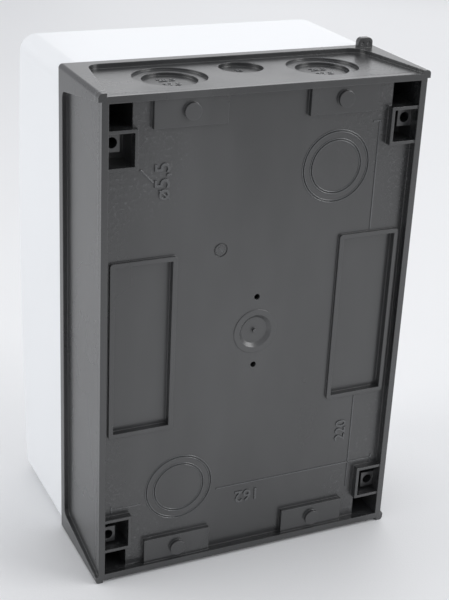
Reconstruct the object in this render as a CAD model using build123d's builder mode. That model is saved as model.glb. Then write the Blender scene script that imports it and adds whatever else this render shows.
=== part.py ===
from build123d import *
import os
from math import sqrt

# Wall-mounted subpanel enclosure: a dark base, a light bowed cover and a hinged window.
# +Z is up, the front faces -Y and the wall side +Y. The origin is at the middle of the
# underside, half way between the wall plane and the crown of the front.

os.makedirs("parts", exist_ok=True)

# ---- Overall sizes, in millimetres
width = 180.0
height = 272.0
base_depth = 59.0
cover_depth = 81.0
front_bow = 8.0
wall = 2.6

# ---- Fits
slip = 0.3
running = 0.05
thread_gap = 0.05

# ---- Base, outside
bead_diameter = 4.2
recess = 2.6
recess_at_rear = 1.7
recess_front_margin = 12.6
flange = 5.4
recess_corner_long = 8.0
recess_corner_short = 4.0

# ---- Base, wall side
floor_depth = 4.6
fixing_from_wall = 3.8
fixing_above_cell = 2.6
fixing_hole = 5.5
fixing_head = 9.0
rib = 1.7
well_width = 13.5
post_well_height = 13.3
post_well_depth = 45.0
cell_height = 16.8
cell_depth = 17.0
cell_rim_setback = 0.6
cell_land = 4.0
column_width = 8.1
column_height = 9.6
column_setback = 6.7
frame_width = 36.0
frame_height = 98.4
frame_centre_x = 64.4
frame_rim = 2.5
frame_rise = 1.6
frame_sink = 2.0
frame_corner = 1.6
pad_width = 38.8
pad_height = 14.6
pad_centre_x = 42.0
pad_rise = 2.7
stud_diameter = 8.8
stud_from_wall = 6.8
ring_centre_x = 41.0
ring_centre_z = 87.5
ring_radii = (18.9, 14.3)
ring_groove = 1.1
ring_groove_depth = 0.5
dimple_ring_radius = 12.5
dimple_ring_rise = 0.4
dimple_radius = 9.4
dimple_flank = 50
dimple_depth = 1.3
gate_radius = 1.3
centre_hole = 3.2
centre_hole_spacing = 39.6
mark_x = 22.4
mark_z = 49.0
mark_radius = 3.8
mark_line = 0.7

# ---- Base, cable entries in the top and bottom walls
entry_radius = 19.0
entry_inner_radius = 14.1
entry_step = 1.1
entry_depth = 2.8
entry_spacing = 85.2
entry_from_rear = 29.5
small_entry_radius = 11.6
small_entry_depth = 2.1
small_entry_from_rear = 38.0
entry_membrane = 1.6
entry_backing = 1.5

# ---- Sealing lug on the top flange
lug_width = 8.6
lug_thickness = 3.2
lug_height = 5.5
lug_corner = 2.6
lug_x = -81.0
lug_from_seam = 4.0
lug_hole = 1.8
lug_hole_spacing = 3.9
lug_hole_above_flange = 2.4

# ---- Seal between base and cover
groove_inset = 1.5
groove_width = 2.2
groove_depth = 3.0
gasket_height = 1.7
tongue_height = 1.1

# ---- Cover
cover_corner = 9.5
cover_edge = 8.0
tube_diameter = 13.0
screw_shank = 5.0
screw_tip = 4.0
screw_head = 9.4
screw_head_height = 4.0
screw_sink = 2.5
washer_thickness = 1.2
insert_diameter = 6.4
insert_length = 9.0

# ---- Door and its well in the cover
well_from_top = 32.0
well_height = 102.0
door_well_width = 158.0
door_well_side = 4.0
door_gap = 0.6
door_wall = 2.4
door_corner = 1.5
hinge_land = 1.0
barrel_radius = 5.5
barrel_back_gap = 1.86
pin_diameter = 2.5
pin_in_door = 11.0
window_below_well_top = 52.0
module_pitch = 17.5
module_count = 8
window_margin = 1.0
window_height = 46.0
strip_clearance = 0.2
strip_lip = 2.0
strip_lip_thickness = 1.2
score_width = 0.9
score_depth = 0.7
seal_width = 3.0
seal_height = 1.2
knob_diameter = 14.0
knob_height = 3.0
knob_neck = 8.0
knob_round = 0.6
coin_slot_length = 10.0
coin_slot_width = 1.8
coin_slot_depth = 1.6
knob_from_edge = 10.6
cam_width = 4.6
cam_round = 1.6
cam_thickness = 2.4
keeper_bite = 2.2

# ---- Rail, brackets and terminals inside
rail_height = 35.0
rail_hat = 27.0
rail_depth = 7.5
rail_sheet = 1.0
rail_length = 150.0
rail_behind_plate = 47.0
rail_slot_pitch = 25.0
rail_slot_length = 15.0
rail_slot_width = 5.2
rail_slot_count = 5
bracket_x = 58.0
bracket_width = 22.0
bracket_sheet = 2.0
bracket_flange = 24.0
bracket_bend = 3.0
boss_diameter = 9.0
boss_height = 4.0
boss_bore = 5.0
small_screw = 3.9
small_screw_head = 7.0
small_screw_head_height = 2.4
rail_screw_point = 1.5
terminal_z = 62.0
carrier_length = 124.0
carrier_width = 34.0
carrier_plate = 3.0
carrier_corner = 3.0
carrier_screw_x = 54.0
post_length = 9.0
post_height = 7.0
post_margin = 1.0
bar_length = 108.0
bar_width = 7.0
bar_depth = 9.0
bar_spacing = 17.0
terminal_count = 10
terminal_pitch = 9.0
wire_hole = 4.2
terminal_screw = 3.6
terminal_screw_rise = 1.4
terminal_slot_width = 0.7
terminal_slot_depth = 0.8
wire_hole_below_face = 5.4

# ---- Places worked out from the sizes above
depth = base_depth + cover_depth
rear_y = depth / 2
seam_y = rear_y - base_depth
crown_y = -depth / 2
mid_z = height / 2
inner_width = width - 2 * (recess + wall)
inner_height = height - 2 * (recess + wall)
floor_y = rear_y - floor_depth
floor_inside_y = floor_y - wall
bow_radius = (mid_z**2 + front_bow**2) / (2 * front_bow)
bow_centre_y = crown_y + bow_radius

# Corner wells are measured from the inner faces of the walls
post_x = inner_width / 2 - well_width / 2
post_z = inner_height / 2 - post_well_height / 2
cell_z = inner_height / 2 - post_well_height - rib - cell_height / 2
fixing_x = inner_width / 2 - fixing_from_wall
fixing_z = cell_z + fixing_above_cell
tower_width = well_width + rib
tower_height = post_well_height + cell_height + 2 * rib


def front_y(z, inset=0.0):
    """Where the bowed front lies at height z, or a face that much behind it."""
    return bow_centre_y - sqrt((bow_radius - inset) ** 2 - (z - mid_z) ** 2)


def facing(y, z=mid_z):
    """A plane at depth y whose sketches are seen from the front, centred at height z."""
    return Plane(origin=(0, y, z), x_dir=(1, 0, 0), z_dir=(0, -1, 0))


def corners(x, z):
    """The four mirrored places of a corner feature."""
    return [(sx * x, sz * z) for sx in (-1, 1) for sz in (-1, 1)]


def bowed_block(block_width, low_z, high_z, back_y, inset=0.0, corner=0.0, edge=0.0):
    """A block from back_y to the bowed front, with rounded long corners and front edges."""
    middle_z = (low_z + high_z) / 2
    low_front = (front_y(low_z, inset), low_z)
    middle_front = (front_y(middle_z, inset), middle_z)
    high_front = (front_y(high_z, inset), high_z)
    with BuildPart() as block:
        with BuildSketch(Plane.YZ):
            with BuildLine():
                ThreePointArc(low_front, middle_front, high_front)
                Polyline(high_front, (back_y, high_z), (back_y, low_z), low_front)
            make_face()
        extrude(amount=block_width / 2, both=True)
        if corner:
            fillet(block.edges().filter_by(Axis.Y), corner)
        if edge:
            fillet(block.faces().sort_by(Axis.Y)[0].edges(), edge)
    return block.part


# ---- Places in the cover, which follow the bow at the height of the hinge
well_top_z = height - well_from_top
well_bottom_z = well_top_z - well_height
well_centre_z = (well_top_z + well_bottom_z) / 2
window_centre_z = well_top_z - window_below_well_top
window_width = module_count * module_pitch + 2 * window_margin
hinge_z = well_top_z - door_gap - barrel_radius
hinge_y = front_y(hinge_z) + barrel_radius
well_floor_y = hinge_y + barrel_radius + barrel_back_gap
plate_back_y = well_floor_y + wall
rail_front_y = plate_back_y + rail_behind_plate
rail_back_y = rail_front_y + rail_depth
boss_y = floor_inside_y - boss_height


def pan_screw(shank, length, head, head_height):
    """A pan-head screw along Z, its head seated at z = 0 and its shank below."""
    with BuildPart() as screw:
        with BuildSketch(Plane.XY):
            Circle(head / 2)
        extrude(amount=head_height)
        fillet(screw.faces().sort_by(Axis.Z)[-1].edges(), head_height * 0.35)
        with BuildSketch(Plane.XY):
            Circle(shank / 2)
        extrude(amount=-length)
        chamfer(screw.faces().sort_by(Axis.Z)[0].edges(), shank * 0.12)
        with BuildSketch(Plane.XY.offset(head_height)):
            for turn in (0, 90):
                Rectangle(head * 0.62, head * 0.13, rotation=turn)
        extrude(amount=-head_height * 0.55, mode=Mode.SUBTRACT)
    return screw.part


def wall_recess(half, middle, radius):
    """The cutter for one wall's recess, for a wall lying at z = middle, with a sloping floor."""
    front = seam_y + flange
    with BuildPart() as cutter:
        with BuildSketch(Plane.XY.offset(middle)) as outline:
            with BuildLine():
                Polyline(
                    (-half + bead_diameter, rear_y),
                    (-half + recess_front_margin, front),
                    (half - recess_front_margin, front),
                    (half - bead_diameter, rear_y),
                    close=True,
                )
            make_face()
            fillet(outline.vertices().group_by(Axis.Y)[0], radius)
        extrude(amount=-recess)
        with BuildSketch(Plane.YZ):
            with BuildLine():
                low = middle - recess
                Polyline((front, low), (rear_y, middle - recess_at_rear), (rear_y, low), close=True)
            make_face()
        extrude(amount=half, both=True, mode=Mode.SUBTRACT)
    return cutter.part


# ==== Base shell: a tray whose outer walls are recessed between the corners ====
with BuildPart() as base_shell:
    with BuildSketch(facing(rear_y)):
        RectangleRounded(width, height, bead_diameter / 2)
    extrude(amount=base_depth)

    # The wall recesses run out at the wall side, and get shallower and wider towards it
    for half, middle, turns, radius in (
        (width / 2, mid_z, (0, 180), recess_corner_long),
        (mid_z, width / 2, (90, 270), recess_corner_short),
    ):
        cutter = wall_recess(half, middle, radius)
        for turn in turns:
            with Locations(Pos(0, 0, mid_z) * Rot(0, turn, 0)):
                add(cutter, mode=Mode.SUBTRACT)

    # The wall-side recess and the inside, which leaves a tower in each corner
    with BuildSketch(facing(rear_y)):
        Rectangle(inner_width, inner_height)
    extrude(amount=floor_depth, mode=Mode.SUBTRACT)
    with BuildSketch(facing(floor_inside_y)):
        Rectangle(inner_width, inner_height)
        tower_x = inner_width / 2 - tower_width / 2
        tower_z = inner_height / 2 - tower_height / 2
        with Locations(*corners(tower_x, tower_z)):
            Rectangle(tower_width, tower_height, mode=Mode.SUBTRACT)
    extrude(amount=floor_inside_y - seam_y, mode=Mode.SUBTRACT)

    # Frames round two sunk panels, with the floor thickened behind them
    frame_places = [(-frame_centre_x, 0), (frame_centre_x, 0)]
    panel_width = frame_width - 2 * frame_rim
    panel_height = frame_height - 2 * frame_rim
    with BuildSketch(facing(floor_y - wall)):
        with Locations(*frame_places):
            Rectangle(frame_width, frame_height)
    extrude(amount=frame_sink)
    with BuildSketch(facing(floor_y + frame_rise)):
        with Locations(*frame_places):
            RectangleRounded(frame_width, frame_height, frame_corner)
    extrude(amount=frame_rise)
    with BuildSketch(facing(floor_y + frame_rise)):
        with Locations(*frame_places):
            Rectangle(panel_width, panel_height)
    extrude(amount=frame_rise + frame_sink, mode=Mode.SUBTRACT)

    # Spacer pads with round studs that finish level with the rims of the walls
    pad_z = inner_height / 2 - pad_height / 2
    with BuildSketch(facing(floor_y + pad_rise)):
        with Locations(*corners(pad_centre_x, pad_z)):
            Rectangle(pad_width, pad_height)
    extrude(amount=pad_rise)
    with BuildSketch(facing(rear_y)):
        with Locations(*corners(pad_centre_x, inner_height / 2 - stud_from_wall)):
            Circle(stud_diameter / 2)
    extrude(amount=floor_depth - pad_rise)

    # Corner wells: a blind shaft behind each cover screw, and a rimmed cell for the fixing
    cell_outer_width = well_width + rib
    cell_outer_height = cell_height + 2 * rib
    with BuildSketch(facing(rear_y - cell_rim_setback)):
        with Locations(*corners(inner_width / 2 - cell_outer_width / 2, cell_z)):
            Rectangle(cell_outer_width, cell_outer_height)
    extrude(amount=floor_depth - cell_rim_setback)
    with BuildSketch(facing(rear_y)):
        with Locations(*corners(post_x, post_z)):
            Rectangle(well_width, post_well_height)
    extrude(amount=post_well_depth, mode=Mode.SUBTRACT)
    with BuildSketch(facing(rear_y)):
        with Locations(*corners(post_x, cell_z)):
            Rectangle(well_width, cell_height)
    extrude(amount=cell_depth, mode=Mode.SUBTRACT)
    with BuildSketch(facing(rear_y - column_setback)):
        with Locations(*corners(inner_width / 2 - column_width / 2, fixing_z)):
            Rectangle(column_width, column_height)
    extrude(amount=cell_depth - column_setback)
    fixing_land_y = rear_y - cell_depth - cell_land
    with BuildSketch(facing(rear_y)):
        with Locations(*corners(fixing_x, fixing_z)):
            Circle(fixing_hole / 2)
    extrude(amount=base_depth, mode=Mode.SUBTRACT)
    with BuildSketch(facing(fixing_land_y)):
        with Locations(*corners(fixing_x, fixing_z)):
            Circle(fixing_head / 2)
    extrude(amount=fixing_land_y - seam_y, mode=Mode.SUBTRACT)

    # Scored rings for two rear cable entries, on one diagonal, and the moulder's date ring
    with BuildSketch(facing(floor_y)):
        for side in (-1, 1):
            with Locations((side * ring_centre_x, -side * ring_centre_z)):
                for radius in ring_radii:
                    Circle(radius + ring_groove / 2)
                    Circle(radius - ring_groove / 2, mode=Mode.SUBTRACT)
    extrude(amount=ring_groove_depth, mode=Mode.SUBTRACT)
    with BuildSketch(facing(floor_y)):
        with Locations((mark_x, mark_z)):
            Circle(mark_radius)
            Circle(mark_radius - mark_line, mode=Mode.SUBTRACT)
    extrude(amount=ring_groove_depth, mode=Mode.SUBTRACT)

    # Gate dimple at the middle of the floor, with a small hole above and below it
    with BuildSketch(facing(floor_y + dimple_ring_rise)):
        Circle(dimple_ring_radius)
    extrude(amount=dimple_ring_rise)
    with BuildSketch(facing(floor_y + dimple_ring_rise)):
        Circle(dimple_radius)
    extrude(amount=dimple_ring_rise + dimple_depth, taper=dimple_flank, mode=Mode.SUBTRACT)
    with BuildSketch(facing(floor_y)):
        Circle(gate_radius)
    extrude(amount=dimple_depth)
    with BuildSketch(facing(floor_y)):
        with Locations((0, centre_hole_spacing / 2), (0, -centre_hole_spacing / 2)):
            Circle(centre_hole / 2)
    extrude(amount=wall, mode=Mode.SUBTRACT)

    # Dished cable entries in the top and bottom walls, backed inside the wall
    entries = []
    for x in (-entry_spacing / 2, entry_spacing / 2):
        entries.append((x, entry_from_rear, entry_radius, entry_step))
        entries.append((x, entry_from_rear, entry_inner_radius, entry_depth))
    entries.append((0, small_entry_from_rear, small_entry_radius, small_entry_depth))
    for side in (-1, 1):
        outer_z = mid_z + side * mid_z
        inside_z = mid_z + side * inner_height / 2
        with BuildSketch(Plane.XY.offset(inside_z)):
            for x, from_rear, radius, sink in entries:
                with Locations((x, rear_y - from_rear)):
                    Circle(radius + entry_backing)
        extrude(amount=-side * (entry_depth + entry_membrane - wall))
        for x, from_rear, radius, sink in entries:
            with BuildSketch(Plane.XY.offset(outer_z)):
                with Locations((x, rear_y - from_rear)):
                    Circle(radius)
            extrude(amount=-side * (recess + sink), mode=Mode.SUBTRACT)

    # Sealing lug on the top flange
    lug_y = seam_y + lug_from_seam + lug_thickness
    with BuildSketch(facing(lug_y, height)) as lug:
        with Locations((lug_x, lug_height / 2 - recess / 2)):
            Rectangle(lug_width, lug_height + recess)
        fillet(lug.vertices().group_by(Axis.Y)[-1], lug_corner)
        with Locations((lug_x, lug_hole_above_flange)):
            with GridLocations(lug_hole_spacing, 1, 2, 1):
                Circle(lug_hole / 2, mode=Mode.SUBTRACT)
    extrude(amount=lug_thickness)

    # Seal groove in the front of the flange
    with BuildSketch(facing(seam_y)):
        ring_corner = cover_corner - groove_inset
        RectangleRounded(width - 2 * groove_inset, height - 2 * groove_inset, ring_corner)
        groove_far = groove_inset + groove_width
        RectangleRounded(
            width - 2 * groove_far, height - 2 * groove_far, cover_corner - groove_far, mode=Mode.SUBTRACT
        )
    extrude(amount=-groove_depth, mode=Mode.SUBTRACT)

    # Seats for the threaded inserts, and bosses for the brackets and the terminal carrier
    with BuildSketch(facing(seam_y)):
        with Locations(*corners(post_x, post_z)):
            Circle(insert_diameter / 2)
    extrude(amount=-insert_length, mode=Mode.SUBTRACT)
    boss_places = [(x, window_centre_z - mid_z) for x in (-bracket_x, bracket_x)]
    boss_places += [(x, terminal_z - mid_z) for x in (-carrier_screw_x, carrier_screw_x)]
    with BuildSketch(facing(floor_inside_y)):
        with Locations(*boss_places):
            Circle(boss_diameter / 2)
    extrude(amount=boss_height)
    with BuildSketch(facing(boss_y)):
        with Locations(*boss_places):
            Circle(small_screw / 2)
    extrude(amount=-boss_bore, mode=Mode.SUBTRACT)
base_shell.part.label = "base_shell"
export_step(base_shell.part, "parts/base_shell.step")


# ==== Seal and inserts of the base ====
with BuildPart() as cover_gasket:
    with BuildSketch(facing(seam_y + groove_depth)):
        near = groove_inset + running
        far = groove_inset + groove_width - running
        RectangleRounded(width - 2 * near, height - 2 * near, cover_corner - near)
        RectangleRounded(width - 2 * far, height - 2 * far, cover_corner - far, mode=Mode.SUBTRACT)
    extrude(amount=gasket_height)
cover_gasket.part.label = "cover_gasket"
export_step(cover_gasket.part, "parts/cover_gasket.step")

with BuildPart() as cover_inserts:
    with BuildSketch(facing(seam_y)):
        with Locations(*corners(post_x, post_z)):
            Circle(insert_diameter / 2)
            Circle(screw_tip / 2 + thread_gap, mode=Mode.SUBTRACT)
    extrude(amount=-insert_length)
cover_inserts.part.label = "cover_inserts"
export_step(cover_inserts.part, "parts/cover_inserts.step")


# ==== Mounting rail on two bent brackets ====
def bracket(x):
    """A bent steel strip: a foot on the floor boss, a riser, and a flange behind the rail."""
    foot_z = window_centre_z - bracket_flange / 2
    with BuildPart() as strip:
        with BuildSketch(Plane.YZ.offset(x)):
            with BuildLine():
                path = Polyline(
                    (boss_y - bracket_sheet / 2, foot_z + bracket_flange),
                    (boss_y - bracket_sheet / 2, foot_z),
                    (rail_back_y + bracket_sheet / 2, foot_z),
                    (rail_back_y + bracket_sheet / 2, foot_z + bracket_flange),
                )
                fillet(path.vertices().group_by(Axis.Y)[0], bracket_bend)
            trace(line_width=bracket_sheet)
        extrude(amount=bracket_width / 2, both=True)
        with BuildSketch(facing(boss_y, window_centre_z)):
            with Locations((x, 0)):
                Circle(small_screw / 2 + slip / 2)
        extrude(amount=boss_y - rail_back_y, mode=Mode.SUBTRACT)
    return strip.part


for side, x in (("left", -bracket_x), ("right", bracket_x)):
    name = "rail_bracket_" + side
    strip = bracket(x)
    strip.label = name
    export_step(strip, "parts/" + name + ".step")

with BuildPart() as din_rail:
    with BuildSketch(Plane.YZ):
        hat = rail_hat / 2 - rail_sheet / 2
        brim = rail_height / 2
        back = rail_back_y - rail_sheet / 2
        front = rail_front_y + rail_sheet / 2
        with BuildLine():
            Polyline(
                (front, window_centre_z - brim),
                (front, window_centre_z - hat),
                (back, window_centre_z - hat),
                (back, window_centre_z + hat),
                (front, window_centre_z + hat),
                (front, window_centre_z + brim),
            )
        trace(line_width=rail_sheet)
    extrude(amount=rail_length / 2, both=True)
    with BuildSketch(facing(rail_back_y, window_centre_z)):
        with GridLocations(rail_slot_pitch, 1, rail_slot_count, 1):
            SlotOverall(rail_slot_length, rail_slot_width)
        with Locations((-bracket_x, 0), (bracket_x, 0)):
            Circle(small_screw / 2 + slip / 2)
    extrude(amount=rail_sheet, mode=Mode.SUBTRACT)
din_rail.part.label = "din_rail"
export_step(din_rail.part, "parts/din_rail.step")


def seat_screws(places, y, label, length):
    """Write a group of equal small screws whose heads sit on a face at depth y."""
    screw = pan_screw(small_screw, length, small_screw_head, small_screw_head_height)
    with BuildPart() as group:
        for x, z in places:
            with Locations(facing(y, z) * Pos(x, 0, 0)):
                add(screw)
    group.part.label = label
    export_step(group.part, "parts/" + label + ".step")


bracket_places = [(-bracket_x, window_centre_z), (bracket_x, window_centre_z)]
seat_screws(bracket_places, boss_y - bracket_sheet, "bracket_screws", boss_height + bracket_sheet)
rail_screw_length = rail_sheet + bracket_sheet + rail_screw_point
seat_screws(bracket_places, rail_back_y - rail_sheet, "rail_screws", rail_screw_length)

# ==== Terminal carrier with a neutral and an earth bar ====
bar_places = {
    "neutral_bar": terminal_z + bar_spacing / 2,
    "earth_bar": terminal_z - bar_spacing / 2,
}
plate_y = boss_y - carrier_plate
post_y = plate_y - post_height
with BuildPart() as terminal_carrier:
    with BuildSketch(facing(boss_y, terminal_z)):
        RectangleRounded(carrier_length, carrier_width, carrier_corner)
    extrude(amount=carrier_plate)
    with BuildSketch(facing(plate_y, terminal_z)):
        with GridLocations(bar_length - post_length, bar_spacing, 2, 2):
            Rectangle(post_length, bar_width + 2 * post_margin)
    extrude(amount=post_height)
    with BuildSketch(facing(boss_y, terminal_z)):
        with GridLocations(2 * carrier_screw_x, 1, 2, 1):
            Circle(small_screw / 2 + slip / 2)
    extrude(amount=carrier_plate, mode=Mode.SUBTRACT)
terminal_carrier.part.label = "terminal_carrier"
export_step(terminal_carrier.part, "parts/terminal_carrier.step")
carrier_places = [(-carrier_screw_x, terminal_z), (carrier_screw_x, terminal_z)]
seat_screws(carrier_places, plate_y, "carrier_screws", boss_height + carrier_plate)

terminal_places = []
for label, z in bar_places.items():
    with BuildPart() as bar:
        with BuildSketch(facing(post_y, z)):
            Rectangle(bar_length, bar_width)
        extrude(amount=bar_depth)
        with BuildSketch(Plane.XY.offset(z - bar_width / 2)):
            with Locations((0, post_y - bar_depth + wire_hole_below_face)):
                with GridLocations(terminal_pitch, 1, terminal_count, 1):
                    Circle(wire_hole / 2)
        extrude(amount=bar_width, mode=Mode.SUBTRACT)
        with BuildSketch(facing(post_y - bar_depth, z)):
            with GridLocations(terminal_pitch, 1, terminal_count, 1):
                Circle(terminal_screw / 2 + thread_gap)
        extrude(amount=-wire_hole_below_face, mode=Mode.SUBTRACT)
    bar.part.label = label
    export_step(bar.part, "parts/" + label + ".step")
    for index in range(terminal_count):
        terminal_places.append(((index - (terminal_count - 1) / 2) * terminal_pitch, z))

grub_length = wire_hole_below_face - wire_hole / 2
with BuildPart() as terminal_screws:
    for x, z in terminal_places:
        with BuildSketch(facing(post_y - bar_depth - terminal_screw_rise, z)):
            with Locations((x, 0)):
                Circle(terminal_screw / 2)
        extrude(amount=-(grub_length + terminal_screw_rise))
        with BuildSketch(facing(post_y - bar_depth - terminal_screw_rise, z)):
            with Locations((x, 0)):
                Rectangle(terminal_screw, terminal_slot_width)
        extrude(amount=-terminal_slot_depth, mode=Mode.SUBTRACT)
terminal_screws.part.label = "terminal_screws"
export_step(terminal_screws.part, "parts/terminal_screws.step")


# ==== Cover shell: bowed front, a well for the door, and tubes for the corner screws ====
door_low_z = well_bottom_z + door_gap
door_back_y = well_floor_y - seal_height - slip
door_width = door_well_width - 2 * door_gap
knob_z = door_low_z + knob_from_edge
knob_seat_y = front_y(knob_z) + knob_height + slip
cam_front_y = knob_seat_y + door_wall + running
cam_back_y = cam_front_y + cam_thickness
cam_reach = knob_from_edge + door_gap + keeper_bite
slot_left_x = -cam_width / 2 - slip
slot_right_x = sqrt(cam_reach**2 - (knob_from_edge - door_wall) ** 2) + 2 * slip
washer_seat_y = front_y(mid_z + post_z) + screw_sink + screw_head_height + washer_thickness
head_seat_y = washer_seat_y - washer_thickness
pin_outer_x = door_well_width / 2 + door_well_side

cover_block = bowed_block(width, 0, height, seam_y, corner=cover_corner, edge=cover_edge)
cover_hollow = bowed_block(
    width - 2 * wall, wall, height - wall, seam_y, wall, cover_corner - wall, cover_edge - wall
)
with BuildPart() as cover_cavity:
    add(cover_hollow)
    with BuildSketch(facing(plate_back_y, well_centre_z)):
        Rectangle(door_well_width + 2 * door_well_side, well_height + 2 * door_well_side)
    extrude(amount=plate_back_y - crown_y, mode=Mode.SUBTRACT)
    with BuildSketch(facing(seam_y)):
        with Locations(*corners(post_x, post_z)):
            Circle(tube_diameter / 2)
    extrude(amount=cover_depth, mode=Mode.SUBTRACT)

with BuildPart() as cover_shell:
    add(cover_block)
    add(cover_cavity.part, mode=Mode.SUBTRACT)
    with BuildSketch(facing(seam_y)):
        near = groove_inset + slip
        far = groove_inset + groove_width - slip
        RectangleRounded(width - 2 * near, height - 2 * near, cover_corner - near)
        RectangleRounded(width - 2 * far, height - 2 * far, cover_corner - far, mode=Mode.SUBTRACT)
    extrude(amount=-tongue_height)
    with BuildSketch(facing(well_floor_y, well_centre_z)):
        RectangleRounded(door_well_width, well_height, door_corner)
    extrude(amount=well_floor_y - crown_y, mode=Mode.SUBTRACT)
    with BuildSketch(facing(plate_back_y, window_centre_z)):
        Rectangle(window_width, window_height)
    extrude(amount=wall, mode=Mode.SUBTRACT)
    with BuildSketch(facing(seam_y)):
        with Locations(*corners(post_x, post_z)):
            Circle(screw_shank / 2 + slip)
    extrude(amount=cover_depth, mode=Mode.SUBTRACT)
    with BuildSketch(facing(washer_seat_y)):
        with Locations(*corners(post_x, post_z)):
            Circle(screw_head / 2 + slip)
    extrude(amount=washer_seat_y - crown_y, mode=Mode.SUBTRACT)
    with BuildSketch(Plane.YZ):
        with Locations((hinge_y, hinge_z)):
            Circle(pin_diameter / 2)
    extrude(amount=pin_outer_x, both=True, mode=Mode.SUBTRACT)
    with BuildSketch(Plane.XY.offset(well_bottom_z)):
        with Locations(((slot_left_x + slot_right_x) / 2, (cam_front_y + cam_back_y) / 2)):
            Rectangle(slot_right_x - slot_left_x, cam_thickness + 2 * slip)
    extrude(amount=-(keeper_bite + slip), mode=Mode.SUBTRACT)
cover_shell.part.label = "cover_shell"
export_step(cover_shell.part, "parts/cover_shell.step")

# ==== Blanking strip in the module window, with a score line at each module ====
with BuildPart() as blanking_strip:
    with BuildSketch(facing(plate_back_y + strip_lip_thickness, window_centre_z)):
        Rectangle(window_width + 2 * strip_lip, window_height + 2 * strip_lip)
    extrude(amount=strip_lip_thickness)
    with BuildSketch(facing(plate_back_y, window_centre_z)):
        Rectangle(window_width - 2 * strip_clearance, window_height - 2 * strip_clearance)
    extrude(amount=wall)
    with BuildSketch(facing(well_floor_y, window_centre_z)):
        with GridLocations(module_pitch, 1, module_count - 1, 1):
            Rectangle(score_width, window_height)
    extrude(amount=-score_depth, mode=Mode.SUBTRACT)
blanking_strip.part.label = "blanking_strip"
export_step(blanking_strip.part, "parts/blanking_strip.step")

# ==== Seal on the floor of the well, under the rim of the door ====
seal_top_z = hinge_z - hinge_land
with BuildPart() as door_seal:
    with BuildSketch(facing(well_floor_y, (seal_top_z + door_low_z) / 2)):
        RectangleRounded(door_width - 2 * slip, seal_top_z - door_low_z - 2 * slip, door_corner)
        inner_seal = seal_width + slip
        Rectangle(
            door_width - 2 * inner_seal, seal_top_z - door_low_z - 2 * inner_seal, mode=Mode.SUBTRACT
        )
    extrude(amount=seal_height)
door_seal.part.label = "door_seal"
export_step(door_seal.part, "parts/door_seal.step")

# ==== Captive cover screws, each on a rubber washer ====
shank_length = seam_y - head_seat_y - slip
full_shank = pan_screw(screw_shank, shank_length, screw_head, screw_head_height)
with BuildPart() as long_screw:
    add(full_shank)
    with BuildSketch(Plane.XY.offset(-shank_length)):
        Circle(screw_tip / 2)
    extrude(amount=-insert_length)
screw_names = ("lower_left", "upper_left", "lower_right", "upper_right")
for name, (x, z) in zip(screw_names, corners(post_x, post_z)):
    with BuildPart() as placed:
        with Locations(facing(head_seat_y, mid_z + z) * Pos(x, 0, 0)):
            add(long_screw.part)
    placed.part.label = "cover_screw_" + name
    export_step(placed.part, "parts/cover_screw_" + name + ".step")

with BuildPart() as screw_washers:
    with BuildSketch(facing(washer_seat_y)):
        with Locations(*corners(post_x, post_z)):
            Circle(screw_head / 2)
            Circle(screw_shank / 2 + slip, mode=Mode.SUBTRACT)
    extrude(amount=washer_thickness)
screw_washers.part.label = "screw_washers"
export_step(screw_washers.part, "parts/screw_washers.step")

# ==== Door: a clear moulding with a barrel along its top edge, and its two pins ====
door_block = bowed_block(door_width, door_low_z, hinge_z, door_back_y)
hollow_top_z = hinge_z - barrel_radius - hinge_land
door_hollow = bowed_block(
    door_width - 2 * door_wall, door_low_z + door_wall, hollow_top_z, door_back_y, door_wall
)
with BuildPart() as door_pane:
    add(door_block)
    fillet(door_pane.edges().filter_by(Axis.Y).group_by(Axis.Z)[0], door_corner)
    add(door_hollow, mode=Mode.SUBTRACT)
    with BuildSketch(Plane.YZ):
        with Locations((hinge_y, hinge_z)):
            Circle(barrel_radius)
    extrude(amount=door_width / 2, both=True)
    with BuildSketch(facing(knob_seat_y + door_wall, knob_z)):
        Circle(knob_diameter / 2 + door_wall)
    extrude(amount=door_wall + knob_height)
    with BuildSketch(facing(knob_seat_y, knob_z)):
        Circle(knob_diameter / 2 + slip)
    extrude(amount=2 * knob_height, mode=Mode.SUBTRACT)
    with BuildSketch(facing(knob_seat_y + door_wall, knob_z)):
        Circle(knob_neck / 2 + running)
    extrude(amount=door_wall, mode=Mode.SUBTRACT)
    for side in (-1, 1):
        with BuildSketch(Plane.YZ.offset(side * door_width / 2)):
            with Locations((hinge_y, hinge_z)):
                Circle(pin_diameter / 2 + running)
        extrude(amount=-side * (pin_in_door + slip), mode=Mode.SUBTRACT)
    with BuildSketch(Plane.XY.offset(door_low_z)):
        with Locations(((slot_left_x + slot_right_x) / 2, (cam_front_y + cam_back_y) / 2)):
            Rectangle(slot_right_x - slot_left_x, cam_thickness + 2 * slip)
    extrude(amount=door_wall, mode=Mode.SUBTRACT)
door_pane.part.label = "door_pane"
export_step(door_pane.part, "parts/door_pane.step")

with BuildPart() as hinge_pins:
    for side in (-1, 1):
        with BuildSketch(Plane.YZ.offset(side * pin_outer_x)):
            with Locations((hinge_y, hinge_z)):
                Circle(pin_diameter / 2)
        extrude(amount=-side * (door_well_side + door_gap + pin_in_door))
hinge_pins.part.label = "hinge_pins"
export_step(hinge_pins.part, "parts/hinge_pins.step")

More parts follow.
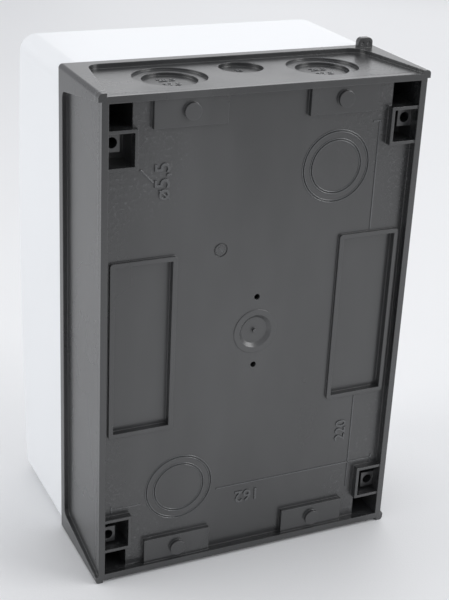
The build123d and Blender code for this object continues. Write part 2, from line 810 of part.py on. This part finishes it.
# ==== Latch: a coin-slot knob in the door, and the cam that turns into the cover ====
with BuildPart() as latch_knob:
    with BuildSketch(facing(knob_seat_y, knob_z)):
        Circle(knob_diameter / 2)
    extrude(amount=knob_height - slip)
    fillet(latch_knob.faces().sort_by(Axis.Y)[0].edges(), knob_round)
    with BuildSketch(facing(knob_seat_y - knob_height + slip, knob_z)):
        SlotOverall(coin_slot_length, coin_slot_width)
    extrude(amount=-coin_slot_depth, mode=Mode.SUBTRACT)
    with BuildSketch(facing(cam_front_y, knob_z)):
        Circle(knob_neck / 2)
    extrude(amount=cam_front_y - knob_seat_y)
    with BuildSketch(facing(cam_back_y, knob_z)):
        Rectangle(cam_width, cam_width)
    extrude(amount=cam_thickness)
latch_knob.part.label = "latch_knob"
export_step(latch_knob.part, "parts/latch_knob.step")

with BuildPart() as latch_cam:
    with BuildSketch(facing(cam_back_y, knob_z)) as cam:
        Circle(knob_neck / 2)
        with Locations((cam_reach / 2, 0)):
            Rectangle(cam_reach, cam_width)
        fillet(cam.vertices().group_by(Axis.X)[-1], cam_round)
        Rectangle(cam_width, cam_width, mode=Mode.SUBTRACT)
    extrude(amount=cam_thickness)
latch_cam.part.label = "latch_cam"
export_step(latch_cam.part, "parts/latch_cam.step")
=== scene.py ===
import math

import bmesh
import bpy
from mathutils import Matrix, Vector


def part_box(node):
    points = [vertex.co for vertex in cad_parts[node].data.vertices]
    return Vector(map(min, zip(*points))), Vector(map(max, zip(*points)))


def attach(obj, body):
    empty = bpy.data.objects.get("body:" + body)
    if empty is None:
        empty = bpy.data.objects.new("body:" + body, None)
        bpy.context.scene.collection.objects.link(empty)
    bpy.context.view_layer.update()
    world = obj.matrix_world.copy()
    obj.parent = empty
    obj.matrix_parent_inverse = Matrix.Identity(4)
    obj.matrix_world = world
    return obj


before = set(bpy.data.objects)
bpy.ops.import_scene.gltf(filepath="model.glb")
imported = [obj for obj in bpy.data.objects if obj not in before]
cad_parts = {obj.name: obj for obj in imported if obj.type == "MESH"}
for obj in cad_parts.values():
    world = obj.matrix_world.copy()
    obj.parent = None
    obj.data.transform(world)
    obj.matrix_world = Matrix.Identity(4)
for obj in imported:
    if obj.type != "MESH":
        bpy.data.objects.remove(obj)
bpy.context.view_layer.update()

# ---- Camera ----
# The box stands on its lower end and is seen from its wall side, from above and to one side.
# The camera's place and turn are given in the box's own frame, in metres.
camera_place = Vector((0.28669, 0.62191, 0.43075))
camera_right = Vector((-0.9086, 0.4153, 0.0449)).normalized()
camera_back = Vector((0.3964, 0.8236, 0.4056)).normalized()
camera_up = camera_back.cross(camera_right)
lens = bpy.data.cameras.new("camera")
lens.lens = 78.34
lens.sensor_width = 36
lens.clip_start = 0.01
camera = bpy.data.objects.new("camera", lens)
turn = Matrix((camera_right, camera_up, camera_back)).transposed()
camera.matrix_world = Matrix.Translation(camera_place) @ turn.to_4x4()
bpy.context.scene.collection.objects.link(camera)
bpy.context.scene.camera = camera


# ---- Light ----
# A bright white studio: even light from all round, and soft boxes overhead, beyond the
# box and on each side of it. Right, left and back are as the camera sees them.
studio = bpy.data.worlds.new("studio")
studio.use_nodes = True
background = studio.node_tree.nodes["Background"]
background.inputs["Color"].default_value = (0.95, 0.96, 1.0, 1)
background.inputs["Strength"].default_value = 0.64
bpy.context.scene.world = studio
bpy.context.scene.view_settings.view_transform = "Standard"


def soft_box(name, place, target, size, watts):
    """A square area light at place, facing target."""
    data = bpy.data.lights.new(name, "AREA")
    data.size = size
    data.energy = watts
    light = bpy.data.objects.new(name, data)
    facing = (Vector(target) - Vector(place)).to_track_quat("-Z", "Y")
    light.matrix_world = Matrix.Translation(place) @ facing.to_matrix().to_4x4()
    bpy.context.scene.collection.objects.link(light)


soft_box("overhead_box", (-0.2, -0.1, 1.6), (0, 0, 0.1), 0.8, 4.5)
soft_box("right_box", (-1.3, 0.9, 0.9), (0, 0, 0.15), 1.0, 11)
soft_box("left_box", (1.3, -0.35, 0.70), (0, 0, 0.15), 1.0, 7.5)
soft_box("back_box", (-0.90, -1.30, 0.70), (0, 0, 0.20), 1.2, 2.8)


# ---- Finishes ----
# Every surface is a Principled shader fed by noise in object coordinates. A Wire is a
# node's output, and sums and products of wires add the Math nodes they need.
class Wire:
    """An output socket that can be added, subtracted, multiplied and divided."""

    def __init__(self, finish, socket):
        self.finish = finish
        self.socket = socket

    def maths(self, operation, first, second=0.0):
        return self.finish.node("ShaderNodeMath", {"operation": operation}, {0: first, 1: second})

    def __add__(self, other):
        return self.maths("ADD", self, other)

    def __mul__(self, other):
        return self.maths("MULTIPLY", self, other)

    def __sub__(self, other):
        return self.maths("SUBTRACT", self, other)

    def __rsub__(self, other):
        return self.maths("SUBTRACT", other, self)

    def __truediv__(self, other):
        return self.maths("DIVIDE", self, other)

    def __abs__(self):
        return self.maths("ABSOLUTE", self)

    __radd__ = __add__
    __rmul__ = __mul__


class Finish:
    """A material, with one method that adds any node to it."""

    def __init__(self, name, **constants):
        self.material = bpy.data.materials.new(name)
        self.material.use_nodes = True
        self.tree = self.material.node_tree
        self.shader = self.tree.nodes["Principled BSDF"]
        for socket, value in constants.items():
            self.shader.inputs[socket.replace("_", " ")].default_value = value
        self.place = self.node("ShaderNodeTexCoord", {}, {}, "Object")

    def node(self, kind, settings, inputs, out=0):
        """Add a node, give it its settings, then a value or a wire at each input."""
        made = self.tree.nodes.new(kind)
        for name, value in settings.items():
            setattr(made, name, value)
        for key, value in inputs.items():
            self.join(value, made.inputs[key])
        return Wire(self, made.outputs[out])

    def join(self, value, socket):
        if isinstance(value, Wire):
            self.tree.links.new(value.socket, socket)
        else:
            socket.default_value = value

    def noise(self, scale, detail=2.0, rough=0.5, place=None):
        inputs = {"Vector": place or self.place, "Scale": scale, "Detail": detail, "Roughness": rough}
        return self.node("ShaderNodeTexNoise", {}, inputs)

    def ramp(self, value, low, high):
        """Nought below low, one above high, and a smooth rise between them."""
        inputs = {"Value": value, "From Min": low, "From Max": high}
        return self.node("ShaderNodeMapRange", {"interpolation_type": "SMOOTHSTEP"}, inputs)

    def blend(self, factor, first, second):
        """A Mix node's colours: inputs 6 and 7 are its pair of colours, output 2 their mix."""
        settings = {"data_type": "RGBA"}
        return self.node("ShaderNodeMix", settings, {0: factor, 6: first, 7: second}, 2)

    def stretched(self, x, y, z):
        """Object coordinates with each axis multiplied, for grain that runs one way."""
        inputs = {"Vector": self.place, "Scale": (x, y, z)}
        return self.node("ShaderNodeMapping", {}, inputs)

    def relief(self, height, distance, edge=0.0):
        """Bump of the given depth, over edges rounded by the radius given."""
        inputs = {"Height": height, "Distance": distance, "Strength": 1.0}
        if edge:
            inputs["Normal"] = self.node("ShaderNodeBevel", {"samples": 6}, {"Radius": edge})
        self.join(self.node("ShaderNodeBump", {}, inputs), self.shader.inputs["Normal"])

    def colour(self, value):
        self.join(value, self.shader.inputs["Base Color"])

    def roughness(self, value):
        self.join(value, self.shader.inputs["Roughness"])

    def cover(self, *nodes):
        """Give the finish to CAD nodes by name."""
        for name in nodes:
            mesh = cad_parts[name].data
            mesh.materials.clear()
            mesh.materials.append(self.material)


def grey(value, warmth=0.0):
    """A linear grey, cooler for a negative warmth and warmer for a positive one."""
    return (value * (1 + warmth), value, value * (1 - warmth), 1)


# ---- Table ----
# A pale seamless sheet that the box stands on, wide enough to fill the view from any
# side. Painted shade makes it greyer farther out where the wall side faces, which darkens
# its reflection in the base's floor. It belongs to the studio.
table_finish = Finish("table_paper", Roughness=0.55, Specular_IOR_Level=0.3)
cloud = table_finish.noise(2.2, 3.0)
fibre = table_finish.noise(900.0, 2.0)
table_radius = 9.0
shade_start = 0.40
shade_end = 0.95
# Painted shade: a ramp along Y greys the paper farther out on the wall side.
outward = table_finish.node("ShaderNodeSeparateXYZ", {}, {0: table_finish.place}, "Y")
shade = table_finish.ramp(outward, shade_start, shade_end)
paper = table_finish.blend(cloud, grey(0.78, -0.006), grey(0.83, -0.006))
table_finish.colour(table_finish.blend(shade * 0.9, paper, grey(0.46)))
table_finish.relief(fibre, 0.00008)
table_mesh = bmesh.new()
bmesh.ops.create_circle(table_mesh, cap_ends=True, segments=96, radius=table_radius)
table_data = bpy.data.meshes.new("table")
table_mesh.to_mesh(table_data)
table_mesh.free()
table_data.materials.append(table_finish.material)
table = bpy.data.objects.new("table", table_data)
bpy.context.scene.collection.objects.link(table)


# ---- Base shell ----
# A deep tray injection-moulded in anthracite polypropylene blend. The tool's spark
# texture shows as fine grain, coarser near the corners of the floor, with flow clouds.
base_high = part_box("base_shell")[1]
cover_low, cover_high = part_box("cover_shell")
middle_z = (cover_low.z + cover_high.z) / 2
rear_y = base_high.y
floor_y = rear_y - 0.0046
half_width = base_high.x
half_height = (cover_high.z - cover_low.z) / 2
edge_round = 0.0006

base_finish = Finish("anthracite_plastic", IOR=1.56, Specular_IOR_Level=0.95)
along_x = base_finish.node("ShaderNodeSeparateXYZ", {}, {0: base_finish.place}, "X")
along_y = base_finish.node("ShaderNodeSeparateXYZ", {}, {0: base_finish.place}, "Y")
along_z = base_finish.node("ShaderNodeSeparateXYZ", {}, {0: base_finish.place}, "Z")
from_side = abs(along_x) / half_width
from_end = abs(along_z - middle_z) / half_height
cloud = base_finish.noise(14.0, 4.0, 0.6)
streak = base_finish.noise(9.0, 4.0, 0.65, base_finish.stretched(1.0, 1.0, 0.35))
grain = base_finish.noise(2600.0, 1.0)
speckle = base_finish.noise(520.0, 3.0, 0.7)
pitted = base_finish.ramp(from_side * 0.75 + from_end * 0.55 + (cloud - 0.5) * 0.9, 0.72, 1.15)
at_floor = base_finish.ramp(along_y, floor_y - 0.0016, floor_y - 0.0004)
past_floor = base_finish.ramp(along_y, floor_y + 0.0006, floor_y + 0.0026)
on_floor = at_floor * (1.0 - past_floor)
flecks = base_finish.ramp(speckle, 0.53, 0.68) * pitted * on_floor
smear = base_finish.ramp(streak, 0.45, 0.75)
raised = base_finish.ramp(along_y, rear_y - 0.0030, rear_y - 0.0010)
dark = grey(0.016, -0.03)
light = grey(0.026, -0.03)
dusty = grey(0.15, -0.02)
tone = base_finish.blend(cloud, dark, light)
tone = base_finish.blend(smear * 0.18, tone, dusty)
base_finish.colour(base_finish.blend(flecks * 0.45, tone, dusty))
base_finish.roughness(0.23 + cloud * 0.10 + smear * 0.12 - flecks * 0.06 - raised * 0.06)
height = grain * 0.25 + speckle * (0.35 + pitted * on_floor * 2.2)
base_finish.relief(height, 0.00009, edge_round)
base_finish.cover("base_shell")


# ---- Dimension lines and numbers on the wall side ----
# Fine raised lines and numerals moulded with the base, which give the spacing and the
# diameter of the fixing holes. They stand about half a millimetre proud of the floor.
line_rise = 0.00040
line_width = 0.00085
sunk = 0.0002
# The marks are the base's own anthracite plastic; their lighter grey is painted highlight, standing in for
# the glints on their raised edges and beads.
mark_finish_painted_highlight = Finish("anthracite_marks_painted_highlight", IOR=1.52, Specular_IOR_Level=1.0)
mark_grain = mark_finish_painted_highlight.noise(1800.0, 2.0)
mark_finish_painted_highlight.colour(mark_finish_painted_highlight.blend(mark_grain, grey(0.050, -0.03), grey(0.085, -0.03)))
mark_finish_painted_highlight.roughness(0.15 + mark_grain * 0.08)
mark_finish_painted_highlight.relief(mark_grain, 0.00005)


def new_piece(name, shape, finish, body, smooth_angle=35):
    """Make an object of a finished bmesh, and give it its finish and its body."""
    mesh = bpy.data.meshes.new(name)
    shape.to_mesh(mesh)
    shape.free()
    for polygon in mesh.polygons:
        polygon.use_smooth = True
    mesh.set_sharp_from_angle(angle=math.radians(smooth_angle))
    mesh.materials.append(finish.material)
    made = bpy.data.objects.new(name, mesh)
    bpy.context.scene.collection.objects.link(made)
    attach(made, body)


def add_bar(shape, start, end, width, rise, out):
    """A rounded ridge from start to end on a face whose outward direction is out."""
    start = Vector(start)
    end = Vector(end)
    out = Vector(out)
    along = (end - start).normalized()
    across = out.cross(along)
    middle = (start + end) / 2 + out * (rise - sunk) / 2
    axes = Matrix((along, across, out)).transposed().to_4x4()
    size = Matrix.Diagonal(((end - start).length, width, rise + sunk, 1))
    place = Matrix.Translation(middle) @ axes @ size
    made = bmesh.ops.create_cube(shape, size=1.0, matrix=place)
    edges = {e for v in made["verts"] for e in v.link_edges}
    upper = [e for e in edges if all((v.co - middle).dot(out) > 0 for v in e.verts)]
    bmesh.ops.bevel(
        shape, geom=upper, offset=min(width, rise) * 0.4, affect="EDGES", segments=2, profile=0.5, material=-1
    )


def wall_point(x, up):
    """A point on the wall-side floor, x to the right seen from the front, up from the middle."""
    return Vector((x, floor_y, middle_z + up))


lines = bmesh.new()
wall_out = (0, 1, 0)


def draw_line(start, end, width=line_width, rise=line_rise):
    """One raised line on the wall-side floor."""
    add_bar(lines, wall_point(*start), wall_point(*end), width, rise, wall_out)


fixing_up = 0.110
frame_top = 0.0500
upright_x = -0.0650
hook_inner_x = upright_x + 0.004
hook_outer_x = upright_x - 0.001
cross_up = -0.0937
cross_end_x = 0.080
cross_long_x = 0.0186
cross_short_x = 0.0632
tick_reach = 0.0022
draw_line((upright_x, fixing_up), (upright_x, frame_top))
draw_line((upright_x, -frame_top), (upright_x, -fixing_up))
draw_line((hook_inner_x, fixing_up), (hook_outer_x, fixing_up))
draw_line((cross_long_x, cross_up), (-cross_end_x, cross_up))
draw_line((cross_end_x, cross_up), (cross_short_x, cross_up), rise=line_rise * 0.5)
for x in (cross_end_x, -cross_end_x):
    draw_line((x, cross_up - tick_reach), (x, cross_up + tick_reach))
leader_start = (0.0672, 0.0960)
leader_end = (0.0600, 0.0888)
draw_line(leader_start, leader_end, width=0.0010, rise=line_rise * 1.4)
new_piece("dimension_lines", lines, mark_finish_painted_highlight, "base")


def add_number(shape, text, size, place, right, up, rise):
    """Raised numerals: font outlines, extruded and softened, turned and set on a face."""
    curve = bpy.data.curves.new("numeral", "FONT")
    curve.body = text
    curve.size = size
    curve.align_x = "CENTER"
    curve.align_y = "CENTER"
    curve.extrude = (rise + sunk) / 2
    curve.bevel_depth = rise * 0.22
    curve.bevel_resolution = 1
    curve.resolution_u = 6
    holder = bpy.data.objects.new("numeral", curve)
    bpy.context.scene.collection.objects.link(holder)
    bpy.context.view_layer.update()
    mesh = bpy.data.meshes.new_from_object(holder.evaluated_get(bpy.context.evaluated_depsgraph_get()))
    right = Vector(right)
    up = Vector(up)
    out = right.cross(up)
    axes = Matrix((right, up, out)).transposed().to_4x4()
    mesh.transform(Matrix.Translation(Vector(place) + out * (rise - sunk) / 2) @ axes)
    shape.from_mesh(mesh)
    bpy.data.objects.remove(holder)
    bpy.data.curves.remove(curve)
    bpy.data.meshes.remove(mesh)


numbers = bmesh.new()
number_rise = 0.00045
across_size = 0.0104
upright_size = 0.0090
bore_size = 0.0112
across_place = wall_point(-0.0008, -0.1015)
upright_place = wall_point(-0.0583, -0.0715)
bore_place = wall_point(0.0552, 0.0890)
add_number(numbers, "162", across_size, across_place, (1, 0, 0), (0, 0, -1), number_rise)
add_number(numbers, "220", upright_size, upright_place, (0, 0, 1), (1, 0, 0), number_rise)
add_number(numbers, "ø5,5", bore_size, bore_place, (0, 0, 1), (1, 0, 0), number_rise * 1.3)
new_piece("dimension_numbers", numbers, mark_finish_painted_highlight, "base", 30)


# ---- Beads beside the scored rings ----
# The tool leaves a thin raised bead along both sides of each scored ring, where the two
# rear cable entries can be knocked out. The beads catch the light, and their lighter grey
# is painted highlight.
def add_ring(shape, centre, radius, thickness):
    """A round bead lying in a ring on the wall-side floor, half sunk in it."""
    made = bmesh.new()
    section = bmesh.ops.create_circle(made, segments=8, radius=thickness / 2)
    upright = Matrix.Translation((radius, 0, 0)) @ Matrix.Rotation(math.pi / 2, 4, "X")
    bmesh.ops.transform(made, matrix=upright, verts=section["verts"])
    bmesh.ops.spin(
        made, geom=made.verts[:] + made.edges[:], cent=(0, 0, 0), axis=(0, 0, 1), angle=2 * math.pi, steps=96,
        use_merge=True
    )
    lying = Matrix.Translation(centre) @ Matrix.Rotation(-math.pi / 2, 4, "X")
    bmesh.ops.transform(made, matrix=lying, verts=made.verts[:])
    bmesh.ops.recalc_face_normals(made, faces=made.faces[:])
    mesh = bpy.data.meshes.new("ring")
    made.to_mesh(mesh)
    made.free()
    shape.from_mesh(mesh)
    bpy.data.meshes.remove(mesh)


ring_beads = bmesh.new()
entry_ring_x = 0.041
entry_ring_up = 0.0875
entry_ring_radii = (0.0189, 0.0143)
half_groove = 0.00055
bead_thickness = 0.0007
for side in (-1, 1):
    centre = wall_point(side * entry_ring_x, -side * entry_ring_up)
    for radius in entry_ring_radii:
        for edge in (radius - half_groove, radius + half_groove):
            add_ring(ring_beads, centre, edge, bead_thickness)
new_piece("ring_beads", ring_beads, mark_finish_painted_highlight, "base", 80)


# ---- Numbers in the cable entries ----
# Each large entry carries the two diameters it can be cut to, moulded on its thin disc.
# The small one carries its own. The lower wall mirrors the upper one.
entry_numbers = bmesh.new()
entry_x = 0.0426
entry_y = rear_y - 0.0295
small_entry_y = rear_y - 0.038
recess_depth = 0.0026
entry_depth = 0.0028
small_entry_depth = 0.0021
outer_shift = 0.0038
inner_shift = -0.0046
small_shift = -0.0017
figure_size = 0.0056
small_figure_size = 0.0046
figure_rise = 0.00028
for end, sign in ((cover_high.z, 1), (cover_low.z, -1)):
    disc_z = end - sign * (recess_depth + entry_depth)
    small_disc_z = end - sign * (recess_depth + small_entry_depth)
    facing = ((-sign, 0, 0), (0, -1, 0), figure_rise)
    for x in (-entry_x, entry_x):
        add_number(entry_numbers, "37,5", figure_size, (x, entry_y + outer_shift, disc_z), *facing)
        add_number(entry_numbers, "28,5", figure_size, (x, entry_y + inner_shift, disc_z), *facing)
    small_place = (0.0, small_entry_y + small_shift, small_disc_z)
    add_number(entry_numbers, "23", small_figure_size, small_place, *facing)
new_piece("entry_numbers", entry_numbers, mark_finish_painted_highlight, "base", 30)


# ---- Pointer in the date ring ----
# A small round tool insert leaves a raised pointer and a ring of short ticks, with no
# text. It sits inside the small scored ring above the middle.
date_ring = bmesh.new()
ring_x = 0.0224
ring_up = 0.049
tick_count = 12
tick_inner = 0.0022
tick_outer = 0.0029
tick_width = 0.0003
tick_rise = 0.0002
pointer_width = 0.0007
pointer_rise = 0.0003
for index in range(tick_count):
    angle = 2 * math.pi * index / tick_count
    inner = wall_point(ring_x + tick_inner * math.cos(angle), ring_up + tick_inner * math.sin(angle))
    outer = wall_point(ring_x + tick_outer * math.cos(angle), ring_up + tick_outer * math.sin(angle))
    add_bar(date_ring, inner, outer, tick_width, tick_rise, wall_out)
tail = wall_point(ring_x - 0.0012, ring_up - 0.0014)
tip = wall_point(ring_x + 0.0010, ring_up + 0.0014)
add_bar(date_ring, tail, tip, pointer_width, pointer_rise, wall_out)
new_piece("date_ring_pointer", date_ring, mark_finish_painted_highlight, "base")


# ---- Cover shell ----
# A deep light-grey cap moulded in smooth ABS, bowed along its front. It is clean and
# satin, with only a faint orange-peel from the tool.
cover_finish = Finish("white_plastic", IOR=1.5, Specular_IOR_Level=0.5)
peel = cover_finish.noise(420.0, 2.0)
haze = cover_finish.noise(11.0, 3.0)
cover_finish.colour(cover_finish.blend(haze, grey(0.80, -0.018), grey(0.845, -0.018)))
cover_finish.roughness(0.30 + haze * 0.10)
cover_finish.relief(peel, 0.00002, edge_round)
cover_finish.cover("cover_shell")


# ---- Blanking strip, door and latch ----
# The strip closes the module window and is scored so that single modules snap out. The
# door is clear, faintly smoked polycarbonate, and its latch is dark grained plastic.
strip_finish = Finish("grey_strip_plastic", IOR=1.5)
haze = strip_finish.noise(30.0, 2.0)
strip_finish.colour(strip_finish.blend(haze, grey(0.60, -0.01), grey(0.66, -0.01)))
strip_finish.roughness(0.42 + haze * 0.1)
strip_finish.relief(strip_finish.noise(1500.0), 0.00003, edge_round)
strip_finish.cover("blanking_strip")

door_finish = Finish("smoked_polycarbonate", IOR=1.58, Transmission_Weight=1.0)
haze = door_finish.noise(25.0, 3.0)
door_finish.colour(door_finish.blend(haze, (0.60, 0.66, 0.70, 1), (0.66, 0.71, 0.74, 1)))
door_finish.roughness(0.03 + haze * 0.05)
door_finish.relief(door_finish.noise(60.0), 0.00002)
door_finish.cover("door_pane")

knob_finish = Finish("dark_knob_plastic", IOR=1.5)
grain = knob_finish.noise(1600.0, 2.0)
knob_finish.colour(knob_finish.blend(grain, grey(0.04, -0.02), grey(0.06, -0.02)))
knob_finish.roughness(0.38 + grain * 0.1)
knob_finish.relief(grain, 0.00004, edge_round)
knob_finish.cover("latch_knob", "latch_cam")


# ---- Cover screws ----
# Long captive screws in glass-filled nylon with a cross slot, pale grey and slightly
# mottled by the glass.
screw_finish = Finish("grey_nylon", IOR=1.5)
mottle = screw_finish.noise(500.0, 3.0, 0.6)
screw_finish.colour(screw_finish.blend(mottle, grey(0.42, -0.01), grey(0.52, -0.01)))
screw_finish.roughness(0.40 + mottle * 0.15)
screw_finish.relief(mottle, 0.00004, edge_round)
screw_finish.cover(
    "cover_screw_lower_left", "cover_screw_upper_left", "cover_screw_lower_right", "cover_screw_upper_right"
)


# ---- Seals and washers ----
# Black cellular rubber cord laid in the base's groove and under the door's rim, and a
# solid rubber ring under each screw head.
seal_finish = Finish("black_rubber", IOR=1.45)
cell = seal_finish.noise(1400.0, 3.0, 0.7)
seal_finish.colour(seal_finish.blend(cell, grey(0.018), grey(0.035)))
seal_finish.roughness(0.70 + cell * 0.15)
seal_finish.relief(cell, 0.00012, 0.0003)
seal_finish.cover("cover_gasket", "door_seal", "screw_washers")


# ---- Rail, brackets and small screws ----
# Cold-rolled steel strip, punched and zinc plated: bright with a faint spangle and fine
# rolling lines along its length. The small screws and the hinge pins have the same plating.
zinc_finish = Finish("zinc_plate", Metallic=1.0)
rolling = zinc_finish.noise(60.0, 3.0, 0.6, zinc_finish.stretched(0.6, 30.0, 30.0))
spangle = zinc_finish.noise(180.0, 2.0)
zinc_finish.colour(zinc_finish.blend(spangle, (0.56, 0.58, 0.61, 1), (0.68, 0.69, 0.70, 1)))
zinc_finish.roughness(0.26 + spangle * 0.14 + rolling * 0.06)
zinc_finish.relief(rolling, 0.00003, edge_round)
zinc_finish.cover(
    "din_rail", "rail_bracket_left", "rail_bracket_right", "bracket_screws", "rail_screws", "carrier_screws",
    "terminal_screws", "hinge_pins"
)


# ---- Terminal bars and inserts ----
# Drawn brass, sawn to length and drilled, with fine lines along the draw and a little
# tarnish. The carrier that holds the bars is plain grey plastic.
brass_finish = Finish("drawn_brass", Metallic=1.0)
draw = brass_finish.noise(90.0, 3.0, 0.6, brass_finish.stretched(0.5, 25.0, 25.0))
tarnish = brass_finish.noise(70.0, 3.0)
brass_finish.colour(brass_finish.blend(tarnish, (0.62, 0.42, 0.16, 1), (0.78, 0.58, 0.28, 1)))
brass_finish.roughness(0.24 + tarnish * 0.16 + draw * 0.06)
brass_finish.relief(draw, 0.00003, 0.0003)
brass_finish.cover("neutral_bar", "earth_bar", "cover_inserts")

carrier_finish = Finish("grey_carrier_plastic", IOR=1.5)
grain = carrier_finish.noise(1500.0, 2.0)
carrier_finish.colour(carrier_finish.blend(grain, grey(0.25, -0.01), grey(0.31, -0.01)))
carrier_finish.roughness(0.44 + grain * 0.1)
carrier_finish.relief(grain, 0.00005, edge_round)
carrier_finish.cover("terminal_carrier")
